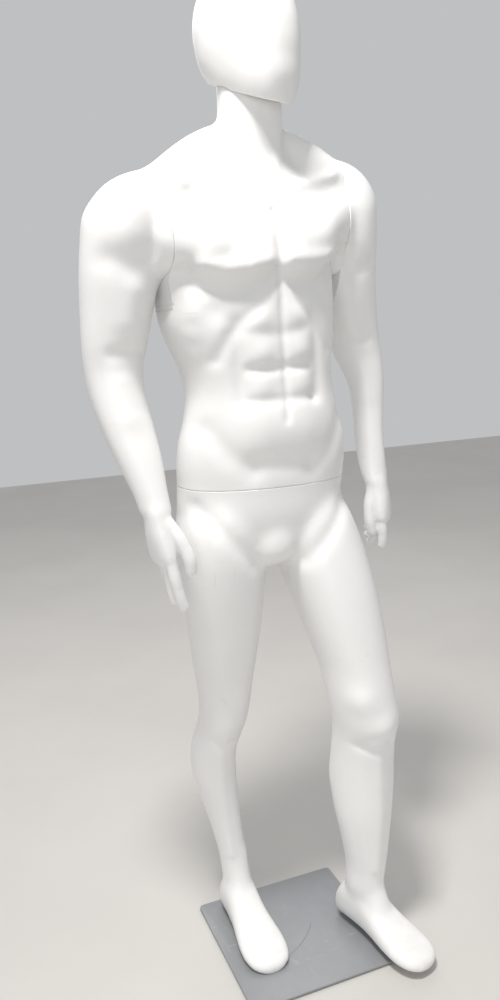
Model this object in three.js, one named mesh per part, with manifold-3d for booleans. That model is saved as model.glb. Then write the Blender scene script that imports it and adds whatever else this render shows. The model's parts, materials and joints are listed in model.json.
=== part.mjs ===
// A full body display mannequin: hollow mouldings with keyed joints, standing on a plate with a foot rod.
// Millimetres, +Z up. +X is the figure's left, -Y its front.
import * as THREE from "three";
import { mergeVertices } from "three/addons/utils/BufferGeometryUtils.js";
import Module from "manifold-3d";

const wasm = await Module();
wasm.setup();

// Driving dimensions
const gap = 0.4; // between faces that touch
const wall = 7; // moulded shell
const padThick = 2;
const plateThick = 5;
const plateSide = 320;
const plateCentre = [27, -21];
const plateTop = padThick + plateThick;
const sole = plateTop + gap; // underside of both feet
const waistHeight = 980;
const neckTop = 1692;
const neckRadius = 55;
const neckAxis = [6, 6];
const jawHeight = 1658; // jaw plane on the neck axis
const jawTilt = THREE.MathUtils.degToRad(21);
const headTurn = THREE.MathUtils.degToRad(20);
const shoulderAt = [181, 14, 1468]; // middle of a shoulder seam on the straight trunk
const seamTilts = { 1: -4, [-1]: 0 }; // lean of each shoulder seam, left and right, degrees
const armpitHeight = 1316;
const rodAt = [-62, 88];
const rodRadius = 6;
const rodLength = 190;
const tubeFlange = 13;
const flatSole = 3; // how much of a foot's round underside is flattened
const torsoSides = 24;
const spanSides = 16;
const headSides = 24;
const legSides = 16;
const armSides = 12;
const hollowSides = 8;

// Trunk sections from the bottom up, standing straight: [height, centre x, centre y, half width, half depth]
const trunkRows = [
  [822, 0, 14, 34, 44],
  [838, 0, 8, 66, 72],
  [862, 0, 10, 110, 92],
  [892, 0, 14, 146, 104],
  [930, 0, 12, 162, 110],
  [980, 0, 6, 162, 108],
  [1015, 0, 1, 164, 108],
  [1062, 0, -6, 161, 104],
  [1100, 0, -11, 150, 99],
  [1150, 0, -12, 141, 97],
  [1200, 0, -10, 146, 101],
  [1250, 0, -6, 160, 107],
  [1300, 0, -3, 169, 111],
  [1345, 0, 0, 171, 114],
  [1385, 0, 3, 174, 112],
  [1420, 0, 6, 177, 108],
  [1455, 0, 9, 175, 99],
  [1482, 0, 12, 166, 90],
  [1505, 0, 14, 142, 80],
  [1526, 0, 13, 108, 70],
  [1548, 0, 9, 74, 61],
  [1568, 0, 3, 56, 55],
  [1600, 0, 0, 55, 55],
  [1645, 0, 0, 55, 55],
  [1692, 0, 0, 55, 55],
];
// Shoulder line from side to side: [place across, centre y, centre z, half depth, half height]
const yokeRows = [
  [-205, 10, 1470, 54, 64],
  [-181, 10, 1482, 60, 62],
  [-140, 14, 1508, 62, 64],
  [-100, 18, 1532, 58, 63],
  [-58, 24, 1552, 48, 58],
  [0, 22, 1545, 48, 60],
  [58, 24, 1552, 48, 58],
  [100, 18, 1532, 58, 63],
  [140, 14, 1508, 62, 64],
  [181, 10, 1482, 60, 62],
  [205, 10, 1470, 54, 64],
];
// Chest muscles running into the shoulders, in the same columns
const chestRows = [
  [-196, 0, 1430, 64, 60],
  [-150, -8, 1422, 78, 62],
  [-100, -8, 1410, 90, 60],
  [0, 6, 1400, 92, 56],
  [100, -8, 1410, 90, 60],
  [150, -8, 1422, 78, 62],
  [196, 0, 1430, 64, 60],
];
// How the spine carries the trunk: [height, sideways, forwards, turn, tilt], degrees
const spineRows = [
  [800, 0, 0, 0, 0],
  [980, 1, 0, 0, 0],
  [1070, 2, 0, 1, 0],
  [1150, -3, 0, 3, 1],
  [1210, -8, 0, 5, 2.5],
  [1280, -17, 0, 8, 4],
  [1340, -18, 0, 9, 5],
  [1440, -15, 0, 9, 5],
  [1500, -7, 2, 7, 4],
  [1555, 3, 5, 3, 2],
  [1600, 6, 6, 0, 0],
  [1700, 6, 6, 0, 0],
];

// Legs from inside the foot up: [height, x, y, half width, half depth, turn]
const rightLegRows = [
  [82, -62, 88, 24, 30, 0],
  [108, -62, 86, 28, 37, 0],
  [150, -65, 90, 28, 38, 0],
  [215, -73, 97, 32, 44, 0],
  [285, -84, 102, 39, 52, 0],
  [350, -93, 102, 45, 58, 0],
  [410, -93, 94, 45, 59, 0],
  [460, -82, 78, 47, 57, 0],
  [495, -77, 66, 49, 58, 0],
  [540, -77, 56, 52, 60, 0],
  [610, -79, 43, 61, 69, 0],
  [690, -80, 29, 70, 79, 0],
  [770, -83, 17, 78, 88, 0],
  [845, -86, 9, 84, 95, 0],
  [905, -86, 8, 80, 98, 0],
  [950, -82, 8, 70, 90, 0],
];

const leftLegRows = [
  [90, 164, -70, 28, 32, 18],
  [116, 166, -72, 33, 42, 20],
  [158, 170, -74, 35, 45, 22],
  [220, 170, -72, 43, 52, 24],
  [285, 168, -68, 51, 62, 25],
  [350, 168, -66, 54, 68, 25],
  [410, 168, -70, 54, 67, 24],
  [460, 168, -78, 55, 66, 22],
  [495, 168, -84, 60, 70, 20],
  [540, 161, -82, 62, 70, 18],
  [610, 152, -70, 66, 73, 15],
  [690, 138, -52, 76, 82, 12],
  [770, 121, -34, 83, 90, 8],
  [845, 103, -15, 86, 96, 4],
  [905, 90, 0, 82, 98, 0],
  [950, 82, 8, 70, 90, 0],
];

// Feet from the heel forward: [distance, half width, top height above the sole]
const footRows = [
  [2, 15, 42],
  [12, 26, 62],
  [34, 32, 92],
  [62, 34, 108],
  [92, 35, 96],
  [122, 38, 72],
  [152, 43, 55],
  [182, 47, 43],
  [208, 47, 34],
  [232, 40, 27],
  [246, 26, 21],
  [251, 12, 15],
];
const rightHeel = [-62, 139];
const rightHeading = 1; // degrees
const leftHeel = [150, 4];
const leftSoleLift = 9; // the free foot hovers over the plate
const leftHeading = 15;

// Arms from the wrist up, written for the left side: [height, x, y, half width, half depth, turn in degrees]
const rightArmRows = [
  [950, 222, -50, 30, 22, 40],
  [985, 228, -42, 32, 27, 34],
  [1040, 239, -24, 41, 37, 22],
  [1095, 251, -6, 47, 45, 10],
  [1145, 261, 8, 49, 50, 0],
  [1195, 265, 12, 51, 50, 0],
  [1240, 261, 8, 57, 56, 0],
  [1300, 254, 2, 63, 63, 0],
  [1360, 246, -6, 69, 68, 0],
  [1410, 237, -12, 73, 72, 0],
  [1450, 227, -14, 77, 71, 0],
  [1480, 214, -13, 70, 64, 0],
  [1502, 203, -11, 58, 52, 0],
  [1517, 191, -9, 40, 36, 0],
  [1526, 180, -7, 16, 15, 0],
];
const leftArmRows = [
  [945, 260, 20, 30, 22, 40],
  [985, 255, 28, 28, 28, 10],
  [1040, 257, 42, 29, 36, -15],
  [1095, 263, 56, 32, 42, -20],
  [1145, 264, 65, 37, 46, -20],
  [1200, 251, 74, 47, 50, 0],
  [1245, 236, 70, 53, 54, 0],
  [1300, 219, 62, 60, 61, 0],
  [1360, 205, 52, 66, 67, 0],
  [1410, 199, 45, 71, 70, 0],
  [1450, 194, 41, 74, 70, 0],
  [1490, 194, 38, 71, 66, 0],
  [1520, 187, 34, 62, 56, 0],
  [1541, 180, 31, 48, 42, 0],
  [1553, 172, 28, 32, 28, 0],
  [1559, 165, 26, 13, 13, 0],
];

// Palm from the wrist down: [distance, half breadth, half thickness, shift towards the little finger]
const palmRows = [
  [-12, 29, 22, 0],
  [12, 31, 20, 0],
  [40, 37, 18, 1],
  [66, 42, 16, 2],
  [88, 42, 13, 2],
  [99, 36, 9, 2],
];
// Fingers from the thumb side: [place across the palm, start, length, curl, radius]
const fingerRows = [
  [-30, 84, 80, 6, 9.5],
  [-9, 88, 86, 16, 9.8],
  [12, 87, 80, 24, 9.2],
  [31, 82, 64, 26, 8],
];

// Head sections from below the chin to the crown
const headRows = [
  [1610, 0, -66, 20, 24],
  [1622, 0, -54, 36, 42],
  [1642, 0, -40, 51, 60],
  [1668, 0, -22, 63, 81],
  [1698, 0, -8, 71, 95],
  [1730, 0, -2, 76, 101],
  [1768, 0, 3, 77, 101],
  [1805, 0, 6, 70, 92],
  [1832, 0, 8, 56, 74],
  [1850, 0, 9, 35, 47],
  [1857, 0, 9, 12, 17],
];

const moulded = new THREE.MeshStandardMaterial({ color: 0xf2f1ef, roughness: 0.42, metalness: 0 });
const steel = new THREE.MeshStandardMaterial({ color: 0x9a9ca0, roughness: 0.4, metalness: 0.9 });
const plateGrey = new THREE.MeshStandardMaterial({ color: 0x82868c, roughness: 0.5, metalness: 0.4 });
const rubber = new THREE.MeshStandardMaterial({ color: 0x1c1c1e, roughness: 0.9, metalness: 0 });

const mannequin = new THREE.Group();

// three.js geometry to a manifold-3d solid
function solid(geometry) {
  const plain = geometry.index ? geometry.toNonIndexed() : geometry.clone();
  plain.deleteAttribute("normal");
  plain.deleteAttribute("uv");
  const merged = mergeVertices(plain, 1e-4);
  const vertProperties = new Float32Array(merged.attributes.position.array);
  const triVerts = new Uint32Array(merged.index.array);
  return new wasm.Manifold(new wasm.Mesh({ numProp: 3, vertProperties, triVerts }));
}

function addPiece(name, shape, material) {
  const mesh = shape.getMesh();
  const geometry = new THREE.BufferGeometry();
  geometry.setAttribute("position", new THREE.BufferAttribute(mesh.vertProperties, 3));
  geometry.setIndex(new THREE.BufferAttribute(mesh.triVerts, 1));
  geometry.computeVertexNormals();
  const piece = new THREE.Mesh(geometry, material);
  piece.name = name;
  mannequin.add(piece);
}

// A closed skin over rings of equal point count, with a fan over each end
function loft(rings) {
  const count = rings[0].length;
  const points = rings.flat();
  const index = [];
  for (let r = 0; r < rings.length - 1; r++) {
    for (let i = 0; i < count; i++) {
      const a = r * count + i;
      const b = r * count + ((i + 1) % count);
      index.push(a, b, b + count, a, b + count, a + count);
    }
  }
  const last = (rings.length - 1) * count;
  const bottom = points.push(middle(rings[0])) - 1;
  const top = points.push(middle(rings[rings.length - 1])) - 1;
  for (let i = 0; i < count; i++) {
    const next = (i + 1) % count;
    index.push(bottom, next, i, top, last + i, last + next);
  }
  if (volume(points, index) < 0) index.reverse();
  const geometry = new THREE.BufferGeometry().setFromPoints(points);
  geometry.setIndex(index);
  return solid(geometry);
}

function volume(points, index) {
  let total = 0;
  const cross = new THREE.Vector3();
  for (let i = 0; i < index.length; i += 3) {
    const [a, b, c] = [points[index[i]], points[index[i + 1]], points[index[i + 2]]];
    total += a.dot(cross.crossVectors(b, c)) / 6;
  }
  return total;
}

function middle(ring) {
  const sum = ring.reduce((total, p) => total.add(p), new THREE.Vector3());
  return sum.divideScalar(ring.length);
}

// An oval ring around centre, halfWidth along across and halfDepth along deep
function oval(centre, across, deep, halfWidth, halfDepth, sides, squareness = 2.2) {
  const ring = [];
  for (let i = 0; i < sides; i++) {
    const angle = (i / sides) * 2 * Math.PI;
    const c = Math.sign(Math.cos(angle)) * Math.abs(Math.cos(angle)) ** (2 / squareness);
    const s = Math.sign(Math.sin(angle)) * Math.abs(Math.sin(angle)) ** (2 / squareness);
    const point = centre.clone().addScaledVector(across, c * halfWidth);
    ring.push(point.addScaledVector(deep, s * halfDepth));
  }
  return ring;
}

const alongZ = new THREE.Vector3(0, 0, 1);
const level = (degrees) => {
  const turn = THREE.MathUtils.degToRad(degrees);
  return new THREE.Vector3(Math.cos(turn), Math.sin(turn), 0);
};

// A limb of level ovals. inset shrinks it, for the hollow inside a moulding.
function limb(rows, sides, inset = 0, shape = (p) => p) {
  const rings = rows.map(([z, x, y, w, d, turn = 0]) => {
    const centre = new THREE.Vector3(x, y, z);
    const halves = [Math.max(w - inset, 3), Math.max(d - inset, 3)];
    return oval(centre, level(turn), level(turn + 90), ...halves, sides).map(shape);
  });
  return loft(rings);
}

// A limb lying from side to side: ovals at their place across
function span(rows, sides, inset = 0, shape = (p) => p) {
  const rings = rows.map(([x, y, z, depth, height]) => {
    const centre = new THREE.Vector3(x, y, z);
    return oval(centre, level(90), alongZ, depth - inset, height - inset, sides).map(shape);
  });
  return loft(rings);
}

const hump = (x, z, x0, z0, rx, rz) => Math.exp(-(((x - x0) / rx) ** 2) - ((z - z0) / rz) ** 2);

// Chest, belly and seat muscles on the trunk
function muscles(p) {
  const side = Math.abs(p.x);
  if (p.y < 0) {
    p.y -= 20 * hump(side, p.z, 78, 1372, 56, 44);
    p.y += 7 * hump(side, p.z, 0, 1370, 16, 60);
    p.y += 9 * hump(side, p.z, 70, 1308, 70, 16);
    p.y -= 12 * hump(side, p.z, 0, 880, 30, 34);
  } else {
    p.y += 16 * hump(side, p.z, 70, 915, 56, 50);
    p.y -= 10 * hump(side, p.z, 0, 1180, 22, 170);
    p.y += 8 * hump(side, p.z, 90, 1400, 50, 60);
  }
  return p;
}

// The straight trunk's points carried by the spine
function pose(p) {
  const next = spineRows.findIndex(([z]) => z > p.z);
  const k = next < 0 ? spineRows.length - 2 : Math.max(next - 1, 0);
  const [below, above] = [spineRows[k], spineRows[k + 1]];
  const share = THREE.MathUtils.clamp((p.z - below[0]) / (above[0] - below[0]), 0, 1);
  const [, sideways, back, turn, tilt] = below.map((v, c) => THREE.MathUtils.lerp(v, above[c], share));
  p.z += p.x * Math.tan(THREE.MathUtils.degToRad(tilt));
  p.applyAxisAngle(alongZ, THREE.MathUtils.degToRad(turn));
  return p.set(p.x + sideways, p.y + back, p.z);
}

// A foot from the heel forward, or the hollow inside it
function foot(heel, heading, lift, inset = 0) {
  const under = sole + lift;
  const forward = level(heading - 90);
  const across = level(heading);
  const rows = inset ? footRows.slice(2, 8) : footRows;
  const sides = inset ? hollowSides : armSides;
  const rings = rows.map(([along, halfWidth, top]) => {
    const centre = new THREE.Vector3(heel[0], heel[1], under + top / 2).addScaledVector(forward, along);
    const ring = oval(centre, across, alongZ, halfWidth - inset, top / 2 - inset, sides, 2.6);
    return ring.map((p) => p.setZ(Math.max(p.z, under + flatSole + inset) - flatSole));
  });
  return loft(rings);
}

// Everything between two heights
const slice = (low, high) => solid(at(new THREE.BoxGeometry(1600, 1600, high - low), 0, 0, (low + high) / 2));

// Turned parts: [radius, height] points from the axis and back to it
function turned(points, sides = 20) {
  const profile = points.map(([r, z]) => new THREE.Vector2(r, z));
  return new THREE.LatheGeometry(profile, sides).rotateX(Math.PI / 2);
}
const disc = (radius, low, high, sides = 20) =>
  turned([[0, low], [radius, low], [radius, high], [0, high]], sides);

const at = (geometry, x, y, z) => geometry.translate(x, y, z);
const moved = (geometry, place) => solid(geometry.clone().applyMatrix4(place));

function squareBlock(side, low, high) {
  return at(new THREE.BoxGeometry(side, side, high - low), 0, 0, (low + high) / 2);
}

// A countersunk wood screw, head flush at height 0, and the hole it needs
const screwPoints = (extra, length) => {
  const [head, shank] = [4 + extra, 1.9 + extra];
  return [[0, -length], [shank, -length], [shank, -2.2], [head, 0], [0, 0]];
};
const screwShape = () => turned(screwPoints(0, 9), 8);
const screwHole = () => turned([...screwPoints(0.3, 14).slice(0, -1), [4.3, 1], [0, 1]], 8);

// Drills holes at the spots through every shape and adds the screws
function fasten(shapes, spots, place, name) {
  const drilled = shapes.map((shape) => {
    return spots.reduce((rest, [x, y, z]) => rest.subtract(moved(at(screwHole(), x, y, z), place)), shape);
  });
  spots.forEach(([x, y, z], i) => {
    addPiece(`${name}_screw_${i + 1}`, moved(at(screwShape(), x, y, z), place), steel);
  });
  return drilled;
}

// Where a fitting sits: local +Z leaves the face, local X stays level
function facing(position, direction, turn = 0) {
  const turnTo = new THREE.Quaternion().setFromUnitVectors(alongZ, direction);
  const spin = new THREE.Quaternion().setFromAxisAngle(alongZ, turn);
  const one = new THREE.Vector3(1, 1, 1);
  return new THREE.Matrix4().compose(position, turnTo.multiply(spin), one);
}

function addHead() {
  const lift = new THREE.Matrix4().makeTranslation(neckAxis[0], neckAxis[1], 0);
  const place = lift.multiply(new THREE.Matrix4().makeRotationZ(headTurn));
  const turnPoint = (p) => p.applyMatrix4(place);
  const jaw = (raise) => {
    const box = at(new THREE.BoxGeometry(600, 600, 400), 0, 0, -200 + raise);
    box.rotateX(jawTilt).translate(0, 0, jawHeight);
    return moved(box, place);
  };
  const outside = limb(headRows, headSides, 0, turnPoint).subtract(jaw(0));
  const hollow = limb(headRows, headSides / 2, wall, turnPoint).subtract(jaw(wall));
  const neckHole = moved(disc(neckRadius + 3.5, 1500, neckTop, 32), lift);
  addPiece("head_shell", outside.subtract(hollow).subtract(neckHole), moulded);
}

function addNeckAndHeadFittings() {
  const place = new THREE.Matrix4().makeTranslation(neckAxis[0], neckAxis[1], neckTop);
  const cap = moved(disc(neckRadius - 10.5, -12, -4), place);
  const peg = moved(turned([[0, -3.6], [28, -3.6], [28, -0.4], [8, -0.4], [8, 24], [6, 26], [0, 26]]), place);
  const spots = [[-19, 0, -0.4], [19, 0, -0.4]];
  const [drilledCap, drilledPeg] = fasten([cap, peg], spots, place, "neck_peg");
  addPiece("neck_cap", drilledCap, moulded);
  addPiece("neck_peg", drilledPeg, steel);

  const board = limb([[neckTop + 4, 0, -8, 57, 79], [neckTop + 12, 0, -8, 57, 79]], 18);
  const roundHole = moved(disc(12, neckTop, neckTop + 20), new THREE.Matrix4());
  const headPlace = new THREE.Matrix4().makeTranslation(neckAxis[0], neckAxis[1], 0);
  headPlace.multiply(new THREE.Matrix4().makeRotationZ(headTurn));
  const socket = moved(disc(28, neckTop + 0.4, neckTop + 3.6), headPlace);
  const pinHole = moved(disc(8.4, neckTop - 5, neckTop + 30), headPlace);
  const boardInPlace = solidMoved(board.subtract(roundHole), headPlace);
  const down = headPlace.clone().multiply(new THREE.Matrix4().makeRotationX(Math.PI));
  const under = [[-19, 0, -neckTop - 0.4], [19, 0, -neckTop - 0.4]];
  const parts = fasten([boardInPlace, socket.subtract(pinHole)], under, down, "head_socket");
  addPiece("head_board", parts[0], moulded);
  addPiece("head_socket", parts[1], steel);
}

function solidMoved(shape, place) {
  const mesh = shape.getMesh();
  const geometry = new THREE.BufferGeometry();
  geometry.setAttribute("position", new THREE.BufferAttribute(mesh.vertProperties, 3));
  geometry.setIndex(new THREE.BufferAttribute(mesh.triVerts, 1));
  return moved(geometry, place);
}

const mirrored = (side) => (p) => p.setX(side * p.x);

function armLoft(rows, side) {
  return limb(rows, armSides, 0, mirrored(side));
}

// Palm, four fingers and thumb, from the wrist row of an arm. lean is how far they swing out going down.
function hand(rows, side, lean) {
  const [height, x, y, , , turn] = rows[0];
  const wrist = new THREE.Vector3(x, y, height);
  const across = level(turn);
  const back = level(turn - 90);
  const down = new THREE.Vector3(lean, 0.02, -1).normalize();
  const spot = (over, along, lift) =>
    wrist.clone().addScaledVector(down, along).addScaledVector(across, over).addScaledVector(back, lift);
  const palm = palmRows.map(([along, breadth, thick, shift]) => {
    return oval(spot(shift, along, 0), across, back, breadth, thick, armSides).map(mirrored(side));
  });
  let shape = loft(palm);
  fingerRows.forEach(([over, start, length, curl, radius]) => {
    const joints = [
      spot(over * 0.92, start - 14, 0),
      spot(over, start + length * 0.35, -curl * 0.15),
      spot(over * 0.98, start + length * 0.7, -curl * 0.55),
      spot(over * 0.94, start + length, -curl * 1.2),
    ];
    shape = shape.add(finger(joints, radius, side));
  });
  const thumb = [spot(-24, 18, -6), spot(-40, 44, -12), spot(-46, 70, -14), spot(-45, 98, -12)];
  return shape.add(finger(thumb, 11, side));
}

// Round rings along the joints, closing over the tip
function finger(joints, radius, side) {
  const curve = new THREE.CatmullRomCurve3(joints);
  const steps = 4;
  const rings = [];
  for (let i = 0; i <= steps; i++) {
    const t = i / steps;
    const tangent = curve.getTangent(t);
    const across = new THREE.Vector3(0, 1, 0).cross(tangent).normalize();
    const deep = new THREE.Vector3().crossVectors(tangent, across);
    const tip = Math.sqrt(Math.max(1 - Math.max((t - 0.8) / 0.22, 0) ** 2, 0.08));
    const size = radius * (1 - 0.2 * t) * tip;
    rings.push(oval(curve.getPoint(t), across, deep, size, size, 7, 2).map(mirrored(side)));
  }
  return loft(rings);
}

// Middle of a shoulder seam, local +Z looking out from the torso
function seamPlace(side) {
  const [x, y, z] = shoulderAt;
  const middleOfSeam = pose(new THREE.Vector3(side * x, y, z));
  const tilt = THREE.MathUtils.degToRad(seamTilts[side]);
  const reach = 10;
  const outer = pose(new THREE.Vector3(side * (x + reach), y, z));
  outer.z += reach * Math.tan(tilt);
  return facing(middleOfSeam, outer.sub(middleOfSeam).normalize());
}

// The space beyond a shoulder seam, or within it, with the face moved out by shift
const slabAt = (side, z) => moved(at(new THREE.BoxGeometry(1600, 1600, 400), 0, 0, z), seamPlace(side));
const beyondSeam = (side, shift) => slabAt(side, 200 + shift);
const withinSeam = (side, shift) => slabAt(side, shift - 200);

function addArm(name, rows, side, lean) {
  const place = seamPlace(side);
  const outside = armLoft(rows, side).add(hand(rows, side, lean)).subtract(withinSeam(side, gap));
  const hollow = limb(rows.slice(1, 13), hollowSides, wall, mirrored(side)).subtract(withinSeam(side, 12));
  const bore = moved(disc(38, -20, 30), place);
  addPiece(`${name}_arm_shell`, outside.subtract(hollow).subtract(bore), moulded);

  const board = moved(disc(37.6, 4.4, 12), place);
  const key = moved(turned([[0, 0.8], [27, 0.8], [27, 4], [0, 4]]), place)
    .add(moved(turned([[0, -12], [4.2, -12], [4.2, 2], [0, 2]], 16), place))
    .add(moved(at(new THREE.BoxGeometry(8, 24, 5), 0, 0, -6.9), place));
  const spots = [[0, -17, 0.8], [0, 17, 0.8]];
  const down = new THREE.Matrix4().makeRotationX(Math.PI);
  const faceIn = place.clone().multiply(down);
  const flipped = spots.map(([x, y, z]) => [x, y, -z]);
  const [drilledBoard, drilledKey] = fasten([board, key], flipped, faceIn, `${name}_arm_key`);
  addPiece(`${name}_arm_board`, drilledBoard, moulded);
  addPiece(`${name}_arm_key`, drilledKey, steel);
}

function addShoulderFittings(name, side) {
  const place = seamPlace(side);
  const board = moved(disc(45.6, -12, -4), place).subtract(moved(disc(14, -20, 0), place));
  const socket = moved(disc(30, -3.6, -0.4), place);
  const slot = moved(at(new THREE.BoxGeometry(26, 9.4, 10), 0, 0, -2), place);
  const spots = [[0, -21, -0.4], [0, 21, -0.4]];
  const parts = [board, socket.subtract(slot)];
  const [drilledBoard, drilledSocket] = fasten(parts, spots, place, `${name}_shoulder`);
  addPiece(`${name}_shoulder_board`, drilledBoard, moulded);
  addPiece(`${name}_shoulder_socket`, drilledSocket, steel);
}

function addTorso(trunk, trunkHollow) {
  let outside = trunk.subtract(slice(700, waistHeight + gap));
  let hollow = trunkHollow;
  for (const [rows, side] of [[leftArmRows, 1], [rightArmRows, -1]]) {
    const armpit = pose(new THREE.Vector3(side * shoulderAt[0], 0, armpitHeight)).z;
    const below = slice(600, armpit);
    const shoulder = armLoft(rows, side).subtract(beyondSeam(side, 0)).subtract(below);
    outside = outside.add(shoulder).subtract(beyondSeam(side, 0).subtract(below));
    hollow = hollow.add(moved(disc(46, -60, 20), seamPlace(side)));
  }
  addPiece("torso_shell", outside.subtract(hollow), moulded);
}

function addWaistFittings() {
  const place = new THREE.Matrix4().makeTranslation(0, 0, waistHeight);
  const [, x, y, w, d] = trunkRows[5];
  const oneBoard = (low, high) => limb([low, high].map((z) => [waistHeight + z, x, y, w - 15, d - 15]), 24);
  const squareHole = (side) => moved(squareBlock(side, -30, 60), place);
  const corners = [[-1, -1], [1, -1], [1, 1], [-1, 1]];

  const plug = moved(squareBlock(100, -3.6, -0.4), place).add(moved(squareBlock(46, -2, 34), place));
  const plugSpots = corners.map(([i, j]) => [38 * i, 38 * j, -0.4]);
  const lower = fasten([oneBoard(-12, -4), plug], plugSpots, place, "waist_plug");
  addPiece("hip_board", lower[0], moulded);
  addPiece("waist_plug", lower[1], steel);

  const socket = moved(squareBlock(110, gap + 0.4, gap + 3.6), place).subtract(squareHole(47.2));
  const down = place.clone().multiply(new THREE.Matrix4().makeRotationX(Math.PI));
  const socketSpots = corners.map(([i, j]) => [44 * i, 44 * j, -gap - 0.4]);
  const upper = [oneBoard(gap + 4, gap + 12).subtract(squareHole(60)), socket];
  const drilled = fasten(upper, socketSpots, down, "waist_socket");
  addPiece("torso_board", drilled[0], moulded);
  addPiece("waist_socket", drilled[1], steel);
}

// The hollow of a leg narrows down into its foot and stops inside the hips
function legHollowRows(rows) {
  const [z, x, y, w, d, turn] = rows[0];
  return [[z + 12, x, y, w - 2, d - 2, turn], ...rows.slice(1, -1)];
}

function addLegs(trunk, trunkHollow) {
  const outside = trunk.subtract(slice(waistHeight, 1900))
    .add(limb(rightLegRows, legSides))
    .add(limb(leftLegRows, legSides))
    .add(foot(rightHeel, rightHeading, 0))
    .add(foot(leftHeel, leftHeading, leftSoleLift));
  const hollow = trunkHollow
    .add(limb(legHollowRows(rightLegRows), hollowSides, wall))
    .add(limb(legHollowRows(leftLegRows), hollowSides, wall))
    .add(foot(rightHeel, rightHeading, 0, wall))
    .add(foot(leftHeel, leftHeading, leftSoleLift, wall))
    .add(solid(at(disc(tubeFlange + gap, 0, 120), ...rodAt, 0)));
  addPiece("legs_shell", outside.subtract(hollow), moulded);
}

function addFootTube() {
  const [outer, inner] = [9, rodRadius + 0.4];
  const end = plateTop + rodLength + 5;
  const points = [[inner, sole], [tubeFlange, sole], [tubeFlange, sole + 3], [outer, sole + 3],
    [outer, end + 4], [0, end + 4], [0, end], [inner, end], [inner, sole]];
  addPiece("foot_tube", solid(at(turned(points, 24), ...rodAt, 0)), steel);
}

function addBase() {
  const [h, r] = [plateSide / 2, 9];
  const outline = new THREE.Shape().moveTo(-h + r, -h);
  [[1, -1], [1, 1], [-1, 1], [-1, -1]].forEach(([i, j], corner) => {
    const from = (corner - 1) * (Math.PI / 2);
    outline.absarc(i * (h - r), j * (h - r), r, from, from + Math.PI / 2, false);
  });
  const sheet = { depth: plateThick, bevelEnabled: false, curveSegments: 6 };
  const slab = new THREE.ExtrudeGeometry(outline, sheet);
  const boltHole = turned([[0, 0], [7.4, 0], [3.4, 4], [3.4, 20], [0, 20]], 24);
  const plate = solid(at(slab, ...plateCentre, padThick));
  addPiece("base_plate", plate.subtract(solid(at(boltHole, ...rodAt, padThick - 0.01))), plateGrey);

  const rod = disc(rodRadius, plateTop + gap, plateTop + rodLength, 24);
  const tapped = disc(3.4, 0, plateTop + 16, 24);
  addPiece("base_rod", solid(at(rod, ...rodAt, 0)).subtract(solid(at(tapped, ...rodAt, 0))), steel);
  const bolt = turned([[0, 0.2], [6.9, 0.2], [3, 4], [3, 19], [0, 19]], 24);
  addPiece("rod_bolt", solid(at(bolt, ...rodAt, padThick)), steel);

  const corners = { front_left: [1, -1], front_right: [-1, -1], rear_left: [1, 1], rear_right: [-1, 1] };
  for (const [name, [i, j]] of Object.entries(corners)) {
    const spot = [plateCentre[0] + i * (h - 22), plateCentre[1] + j * (h - 22), 0];
    addPiece(`base_pad_${name}`, solid(at(disc(12, 0, padThick - 0.3, 24), ...spot)), rubber);
  }
}

const flesh = (p) => pose(muscles(p));
const trunk = limb(trunkRows, torsoSides, 0, flesh)
  .add(span(yokeRows, spanSides, 0, pose))
  .add(span(chestRows, spanSides, 0, pose));
const hollowRows = trunkRows.slice(2, -1).concat([[neckTop + 9, ...trunkRows.at(-1).slice(1)]]);
const yokeHollow = span(yokeRows.slice(2, -2), hollowSides, wall + 3, pose);
const trunkHollow = limb(hollowRows, 2 * hollowSides, wall + 1, flesh).add(yokeHollow);

addBase();
addFootTube();
addLegs(trunk, trunkHollow);
addWaistFittings();
addTorso(trunk, trunkHollow);
addShoulderFittings("left", 1);
addShoulderFittings("right", -1);
addArm("left", leftArmRows, 1, 0.2);
addArm("right", rightArmRows, -1, -0.12);
addNeckAndHeadFittings();
addHead();

// The middle of the whole figure's box stands over the origin
const whole = new THREE.Box3().setFromObject(mannequin).getCenter(new THREE.Vector3());
mannequin.position.set(-whole.x, -whole.y, 0);

export default mannequin;
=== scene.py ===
import json
import math
import bpy
import numpy as np
from mathutils import Matrix, Vector


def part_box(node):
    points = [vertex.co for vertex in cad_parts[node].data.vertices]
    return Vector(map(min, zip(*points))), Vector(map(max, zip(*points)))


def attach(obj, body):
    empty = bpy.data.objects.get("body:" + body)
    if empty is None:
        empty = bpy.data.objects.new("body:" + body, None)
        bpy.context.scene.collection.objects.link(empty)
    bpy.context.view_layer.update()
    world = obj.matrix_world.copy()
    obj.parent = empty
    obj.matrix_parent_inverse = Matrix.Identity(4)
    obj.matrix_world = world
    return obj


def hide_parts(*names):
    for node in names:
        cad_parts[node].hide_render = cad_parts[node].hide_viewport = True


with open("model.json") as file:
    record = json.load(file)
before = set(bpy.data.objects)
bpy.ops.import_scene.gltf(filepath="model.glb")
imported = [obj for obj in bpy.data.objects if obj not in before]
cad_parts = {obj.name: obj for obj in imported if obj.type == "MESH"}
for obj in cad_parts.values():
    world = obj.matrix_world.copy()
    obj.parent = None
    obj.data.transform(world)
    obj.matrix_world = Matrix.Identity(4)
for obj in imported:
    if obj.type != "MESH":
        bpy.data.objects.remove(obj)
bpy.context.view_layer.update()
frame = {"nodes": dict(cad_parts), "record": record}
print("frame loaded:", len(frame["nodes"]), "nodes")

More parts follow.
